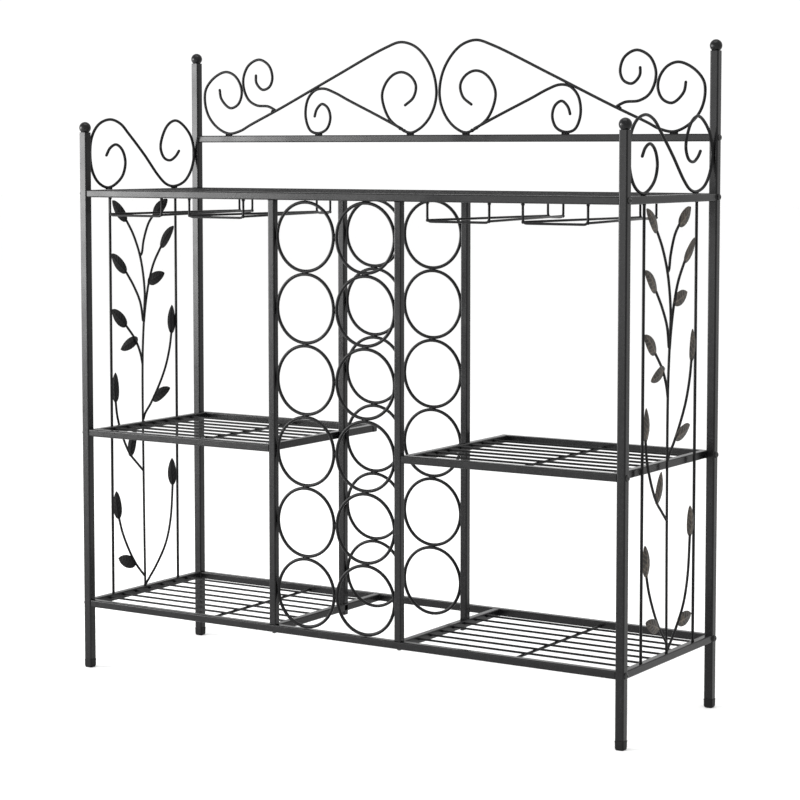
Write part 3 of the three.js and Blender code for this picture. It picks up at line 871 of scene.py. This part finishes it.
vine = {
    "rodRadius": 2.35, "stemRadius": 2.05, "rods": (-90, 88), "stemY": -4, "weldInset": 0.5,
    "branches": (
        ((-4, None), (-6, 300), (-6, 514), (-1, 590), (1, 626), (-5, 668), (-14, 697), (-30, 728),
         (-48, 752)),
        ((-11, 688), (-6, 693), (-1, 714), (13, 744), (29, 760)),
        ((-2, 572), (3, 603), (12, 640), (26, 674), (49, 705)),
        ((-4, 575), (-11, 608), (-28, 637), (-50, 664)),
        ((-6, 500), (-12, 521), (-26, 546), (-51, 572)),
        ((-6, 404), (0, 416), (14, 430), (34, 455), (56, 490), (69, 525), (75, 556)),
        ((-6, 316), (-25, 333), (-42, 349), (-60, 378), (-75, 416), (-80, 447)),
        ((-4, 131), (-29, 157), (-48, 185), (-65, 218), (-74, 245)),
        ((-4, None), (28, 147), (54, 181), (68, 222), (75, 286)),
    ),
    "leaves": (                                # place on the twig, and the way it points in degrees
        (-48, 752, 137), (29, 759, 34), (48, 704, 43), (13, 643, 17), (-50, 664, 140),
        (-51, 572, 141), (-21, 545, -162), (75, 552, 88), (23, 439, 17), (-79, 445, 90),
        (-41, 348, 72), (-74, 244, 97), (-32, 157, 159), (75, 284, 92), (36, 155, 8),
    ),
    "leafCount": {"left": 14, "right": 15},    # the lowest leaf is on the right panel only
}
leafShape = {
    "length": 50.0, "base": -3.0, "width": 31.0, "thickness": 0.9, "fold": 2.4, "arch": 2.6,
    "veins": 5, "veinHeight": 0.75, "veinWidth": 0.9, "rows": 44, "columns": 13,
    "smallest": 0.95, "largest": 1.05, "tilt": 9.0, "seed": 4,
}


def leafHalfWidth(t):
    # widest a little before the middle, round at the stalk and pointed at the tip
    return leafShape["width"] / 2 * 1.62 * (t + 0.004) ** 0.52 * max(1 - t, 0) ** 0.70


def veinLift(along, across, half):
    # how far a spot stands proud: midrib, side veins running forward to the rim, and the rolled rim
    rib = math.exp(-((across / (leafShape["veinWidth"] * (1.4 - along))) ** 2))
    spacing = 1 / (leafShape["veins"] + 1)
    phase = (along - 0.55 * abs(across) / leafShape["length"] * 1.6) / spacing
    offset = abs(phase - round(phase)) * spacing * leafShape["length"]
    side = math.exp(-((offset / leafShape["veinWidth"]) ** 2)) * 0.75 if 0.5 < phase else 0
    rim = math.exp(-(((half - abs(across)) / 0.8) ** 2)) * 0.6
    return max(rib, side, rim)


def leafMeshObject():
    # lies in the y-z plane along +y, its raised side facing +x
    rows, columns = leafShape["rows"], leafShape["columns"]
    points, faces, raised = [], [], []
    for face in (1, -1):
        for i in range(rows + 1):
            along = i / rows
            half = max(leafHalfWidth(along), 0.15)
            for j in range(-columns, columns + 1):
                across = half * j / columns
                arch = leafShape["arch"] * math.sin(math.pi * along)
                fold = leafShape["fold"] * (abs(across) / (leafShape["width"] / 2)) ** 1.4
                lift = veinLift(along, across, half)
                edge = 1 - (abs(j) / columns) ** 12
                x = arch - fold + (face * leafShape["thickness"] / 2 + leafShape["veinHeight"] * lift) * edge
                y = leafShape["base"] + leafShape["length"] * along
                points.append((x * millimetre, y * millimetre, across * millimetre))
                raised.append(lift if face > 0 else 0)
    width = 2 * columns + 1
    sheet = width * (rows + 1)
    for i in range(rows):
        for j in range(width - 1):
            a = i * width + j
            front = (a, a + width, a + width + 1, a + 1)
            faces.append(front)
            faces.append(tuple(sheet + k for k in reversed(front)))
    for row in (0, rows):                      # closes the stalk end and the tip
        for j in range(width - 1):
            a = row * width + j
            quad = (a, a + 1, sheet + a + 1, sheet + a)
            faces.append(quad if row == 0 else tuple(reversed(quad)))
    mesh = bpy.data.meshes.new("leaf_blank")
    mesh.from_pydata(points, [], faces)
    mesh.attributes.new("raised", "FLOAT", "POINT").data.foreach_set("value", raised)
    leaf = bpy.data.objects.new("leaf_blank", mesh)
    bpy.context.scene.collection.objects.link(leaf)
    return leaf


def leafTree():
    # a pressed leaf on every twig end, each a little larger, smaller or tilted
    tree, given = startTree("vine_leaves", [
        ("Leaf", "Object"), ("Outward", "Vector"), ("Smallest", "Float"), ("Largest", "Float"),
        ("Tilt", "Float"), ("Seed", "Int"), ("Material", "Material"), ("Rubbed", "Material"),
    ])
    leaf = link(tree, given["Leaf"], tree.nodes.new("GeometryNodeObjectInfo"), "Object")
    turn = readValue(tree, "turn", "FLOAT_VECTOR")
    aim = link(tree, turn, tree.nodes.new("FunctionNodeEulerToRotation"), "Euler")
    sizes = addNode(tree, "FunctionNodeRandomValue", data_type="FLOAT")
    tree.links.new(given["Smallest"], sizes.inputs[2])
    tree.links.new(given["Largest"], sizes.inputs[3])
    tree.links.new(given["Seed"], sizes.inputs["Seed"])
    tilts = addNode(tree, "FunctionNodeRandomValue", data_type="FLOAT")
    tilts.inputs[2].default_value = -1
    tilts.inputs[3].default_value = 1
    tree.links.new(given["Seed"], tilts.inputs["Seed"])
    tiltBy = addNode(tree, "ShaderNodeMath", operation="MULTIPLY")
    tree.links.new(tilts.outputs[1], tiltBy.inputs[0])
    tree.links.new(given["Tilt"], tiltBy.inputs[1])
    lean = tree.nodes.new("ShaderNodeCombineXYZ")
    tree.links.new(tiltBy.outputs[0], lean.inputs["Y"])
    leanRotation = link(tree, lean.outputs[0], tree.nodes.new("FunctionNodeEulerToRotation"), "Euler")
    both = addNode(tree, "FunctionNodeRotateRotation", rotation_space="LOCAL")
    tree.links.new(aim.outputs[0], both.inputs["Rotation"])
    tree.links.new(leanRotation.outputs[0], both.inputs["Rotate By"])
    leaves = placeOn(tree, given["Geometry"], leaf.outputs["Geometry"])
    tree.links.new(both.outputs[0], leaves.inputs["Rotation"])
    tree.links.new(sizes.outputs[1], leaves.inputs["Scale"])
    real = link(tree, leaves.outputs[0], tree.nodes.new("GeometryNodeRealizeInstances"), 0)
    painted = link(tree, real.outputs[0], tree.nodes.new("GeometryNodeSetMaterial"), "Geometry")
    tree.links.new(given["Material"], painted.inputs["Material"])
    facing = addNode(tree, "ShaderNodeVectorMath", operation="DOT_PRODUCT")
    tree.links.new(tree.nodes.new("GeometryNodeInputNormal").outputs[0], facing.inputs[0])
    tree.links.new(given["Outward"], facing.inputs[1])
    outside = addNode(tree, "FunctionNodeCompare", data_type="FLOAT", operation="GREATER_THAN")
    tree.links.new(facing.outputs["Value"], outside.inputs[0])
    outside.inputs[1].default_value = 0.1
    rubbed = link(tree, painted.outputs[0], tree.nodes.new("GeometryNodeSetMaterial"), "Geometry")
    tree.links.new(outside.outputs[0], rubbed.inputs["Selection"])
    tree.links.new(given["Rubbed"], rubbed.inputs["Material"])
    result = tree.nodes.new("NodeGroupOutput")
    tree.links.new(rubbed.outputs[0], result.inputs[0])
    return tree


vineLeafTree = leafTree()
leafBlank = leafMeshObject()


def buildVine(side, sign):
    node = f"vine_panel_{side}"
    low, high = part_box(node)
    x = middleOf(f"post_front_{side}").x
    foot, head = low.z, high.z
    stems = []
    for branch in vine["branches"]:
        bends = [Vector((x, y * millimetre, foot if z is None else z * millimetre)) for y, z in branch]
        stems.append(smoothPath(bends, 10))
    heights = (foot, (foot + head) / 2, head)
    rods = [[Vector((x, y * millimetre, z)) for z in heights] for y in vine["rods"]]
    rodObject = rodPiece(f"vine_rods_{side}", rods, vine["rodRadius"] * millimetre, wirePaint, 16)
    finishPiece(rodObject, [node])
    stemObject = rodPiece(f"vine_stems_{side}", stems, vine["stemRadius"] * millimetre, wirePaint, 14)
    finishPiece(stemObject, [])
    inset = vine["weldInset"] * millimetre
    welds = [(y, z) for y in vine["rods"] for z in (foot + inset, head - inset)]
    for y, z in (*welds, (vine["stemY"], foot + inset)):
        addBead(Vector((x, y * millimetre, z)), "vineEnd")
    twigEnds = vine["leaves"][:vine["leafCount"][side]]
    places = [Vector((x, y * millimetre, z * millimetre)) for y, z, angle in twigEnds]
    roll = 0 if sign > 0 else math.pi          # a leaf on the left turns its raised side outwards
    turns = [(sign * math.radians(angle), roll, 0) for y, z, angle in twigEnds]
    guide = guideMesh(node + "_twigs", places, vectors={"turn": turns})
    leaves = runTree(f"vine_leaves_{side}", guide, vineLeafTree, {
        "Leaf": leafBlank, "Outward": Vector((sign, 0, 0)),
        "Smallest": leafShape["smallest"], "Largest": leafShape["largest"],
        "Tilt": math.radians(leafShape["tilt"]), "Seed": leafShape["seed"],
        "Material": wirePaint, "Rubbed": bronzeLeaf,
    }, 60)
    finishPiece(leaves, [])


for side, sign in sideSigns.items():
    buildVine(side, sign)
bpy.data.objects.remove(leafBlank)
print("vine panels built")

# Bolts, tower screws and weld nuggets

boltHead = {
    "radius": 4.7, "height": 2.9, "skirt": 0.8, "domeSteps": 6, "rimRadius": 2.5, "socketFlat": 1.6,
    "socketDepth": 1.5, "segments": 36, "sunk": 0.05, "screwScale": 0.8,
}


def boltHeadObject():
    # button head with a hexagon socket, standing on z = 0
    radius, height, skirt = boltHead["radius"], boltHead["height"], boltHead["skirt"]
    rim, sunk = boltHead["rimRadius"], -boltHead["sunk"]
    profile = [(radius - 0.25, sunk), (radius, 0.3), (radius, skirt)]
    for k in range(1, boltHead["domeSteps"] + 1):
        angle = math.pi / 2 * k / boltHead["domeSteps"]
        profile.append((rim + (radius - rim) * math.cos(angle), skirt + (height - skirt) * math.sin(angle)))
    scaled = [(r * millimetre, h * millimetre) for r, h in profile]
    outer = turnedRings(scaled, Vector(), boltHead["segments"])
    flat = boltHead["socketFlat"] * millimetre

    def hexagon(angle):
        return 1 / math.cos((angle + math.pi / 6) % (math.pi / 3) - math.pi / 6)

    floor = (height - boltHead["socketDepth"]) * millimetre
    socket = turnedRings([(flat, height * millimetre), (flat * 0.96, floor), (flat * 0.2, floor * 0.85)],
                         Vector(), boltHead["segments"], hexagon)
    shape = ([], [])
    addLoft(shape, outer + socket)
    return meshPiece("bolt_blank", shape, boltFinish, 32)


def boltTree():
    # one head on each hole, its crown turned outwards
    tree, given = startTree("bolt_heads", [("Head", "Object"), ("Size", "Float"), ("Material", "Material")])
    head = link(tree, given["Head"], tree.nodes.new("GeometryNodeObjectInfo"), "Object")
    aim = addNode(tree, "FunctionNodeAlignRotationToVector", axis="Z")
    tree.links.new(readValue(tree, "outward", "FLOAT_VECTOR"), aim.inputs["Vector"])
    heads = placeOn(tree, given["Geometry"], head.outputs["Geometry"])
    tree.links.new(aim.outputs[0], heads.inputs["Rotation"])
    tree.links.new(given["Size"], heads.inputs["Scale"])
    return endTree(tree, heads.outputs[0], given["Material"])


boltHeadTree = boltTree()
boltBlank = boltHeadObject()


def buildBolts(name, seats, size, nodes):
    places, ways = zip(*seats)
    guide = guideMesh(name + "_seats", places, vectors={"outward": ways})
    piece = runTree(name, guide, boltHeadTree, {"Head": boltBlank, "Size": size, "Material": boltFinish}, 32)
    finishPiece(piece, nodes)


boltNodes = sorted(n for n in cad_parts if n.startswith("bolt_"))
postSeats = []
for node in boltNodes:
    end, side = node.split("_")[-2:]
    sign = sideSigns[side]
    seat = middleOf(node)
    seat.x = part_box(f"post_{end}_{side}")[sign > 0].x
    postSeats.append((seat, (sign, 0, 0)))
buildBolts("post_bolts", postSeats, 1.0, boltNodes)

screwSeats = []
for side in sideSigns:
    seat = middleOf(f"tower_post_front_{side}")
    seat.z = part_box("bottom_frame")[0].z
    screwSeats.append((seat, (0, 0, -1)))
buildBolts("tower_screws", screwSeats, boltHead["screwScale"], [])


weldLumps = {"unevenness": 0.14, "seed": 11}


def nuggetTree():
    # weld metal: small uneven lumps, sized at each point
    inputs = [("Unevenness", "Float"), ("Seed", "Int"), ("Material", "Material")]
    tree, given = startTree("weld_nuggets", inputs)
    lump = tree.nodes.new("GeometryNodeMeshIcoSphere")
    lump.inputs["Radius"].default_value = 1
    lump.inputs["Subdivisions"].default_value = 2
    uneven = addNode(tree, "FunctionNodeRandomValue", data_type="FLOAT_VECTOR")
    uneven.inputs[0].default_value = (-1, -1, -1)
    tree.links.new(given["Seed"], uneven.inputs["Seed"])
    spread = addNode(tree, "ShaderNodeVectorMath", operation="MULTIPLY_ADD")
    tree.links.new(uneven.outputs[0], spread.inputs[0])
    tree.links.new(given["Unevenness"], spread.inputs[1])
    spread.inputs[2].default_value = (1, 1, 1)
    grown = addNode(tree, "ShaderNodeVectorMath", operation="SCALE")
    tree.links.new(spread.outputs[0], grown.inputs[0])
    tree.links.new(readValue(tree, "size"), grown.inputs["Scale"])
    lumps = placeOn(tree, given["Geometry"], lump.outputs["Mesh"])
    tree.links.new(grown.outputs[0], lumps.inputs["Scale"])
    return endTree(tree, lumps.outputs[0], given["Material"])


places, sizes = zip(*beads)
guide = guideMesh("weld_places", places, numbers={"size": sizes})
welds = runTree("weld_nuggets", guide, nuggetTree(), {
    "Unevenness": weldLumps["unevenness"], "Seed": weldLumps["seed"], "Material": wirePaint,
}, 60)
finishPiece(welds, [])
bpy.data.objects.remove(boltBlank)
print("bolts, screws and", len(beads), "weld nuggets built")

# Floor, light and camera

studio = {
    "floorSize": 60.0, "floorColour": (0.965, 0.965, 0.963),
    "worldColour": (1.0, 1.0, 1.0), "worldStrength": 1.05,
}
lamps = {                                      # place, aim, width, height, watts
    "front_left_softbox": ((-3.05, -2.30, 0.95), (-0.4, 0.0, 0.7), 2.0, 1.3, 192),
    "front_fill_softbox": ((-0.95, -3.30, 0.85), (0.3, 0.0, 0.6), 1.2, 1.2, 15),
    "overhead_softbox": ((0.3, -0.6, 3.6), (0.0, 0.0, 0.6), 2.4, 1.8, 45),
}


def buildFloor():
    half = studio["floorSize"] / 2
    material, tree, shader, place = startMaterial("pale_floor")
    tone = tuple(channel * 0.985 for channel in studio["floorColour"])
    cloud = noiseNode(tree, place, 1.3, 3)
    tree.links.new(mixColours(tree, cloud, studio["floorColour"], tone), shader.inputs["Base Color"])
    shader.inputs["Roughness"].default_value = 0.85
    shader.inputs["Specular IOR Level"].default_value = 0.2
    mesh = bpy.data.meshes.new("floor")
    corners = [(-half, -half, 0), (half, -half, 0), (half, half, 0), (-half, half, 0)]
    mesh.from_pydata(corners, [], [(0, 1, 2, 3)])
    mesh.materials.append(material)
    floor = bpy.data.objects.new("floor", mesh)
    bpy.context.scene.collection.objects.link(floor)


def buildLamps():
    for name, (place, aim, width, height, watts) in lamps.items():
        data = bpy.data.lights.new(name, "AREA")
        data.shape, data.size, data.size_y, data.energy = "RECTANGLE", width, height, watts
        lamp = bpy.data.objects.new(name, data)
        lamp.location = place
        lamp.rotation_euler = (Vector(aim) - Vector(place)).to_track_quat("-Z", "Y").to_euler()
        bpy.context.scene.collection.objects.link(lamp)
    world = bpy.data.worlds.new("studio")
    world.use_nodes = True
    backdrop = [n for n in world.node_tree.nodes if n.type == "BACKGROUND"][0]
    backdrop.inputs["Color"].default_value = (*studio["worldColour"], 1)
    backdrop.inputs["Strength"].default_value = studio["worldStrength"]
    bpy.context.scene.world = world
    bpy.context.scene.view_settings.view_transform = "Standard"


camera = {
    "place": (1.9870, -3.0852, 0.8705), "yaw": 0.5670, "down": 0.0743, "lens": 103.01, "sensor": 36.0,
    "shiftY": -0.10,
}


def buildCamera():
    data = bpy.data.cameras.new("camera")
    data.lens, data.sensor_width, data.shift_y = camera["lens"], camera["sensor"], camera["shiftY"]
    data.clip_start, data.clip_end = 0.05, 200
    eye = bpy.data.objects.new("camera", data)
    eye.location = camera["place"]
    eye.rotation_euler = (math.pi / 2 - camera["down"], 0, camera["yaw"])
    bpy.context.scene.collection.objects.link(eye)
    bpy.context.scene.camera = eye


buildFloor()
buildLamps()
buildCamera()
print("floor, lamps and camera placed")
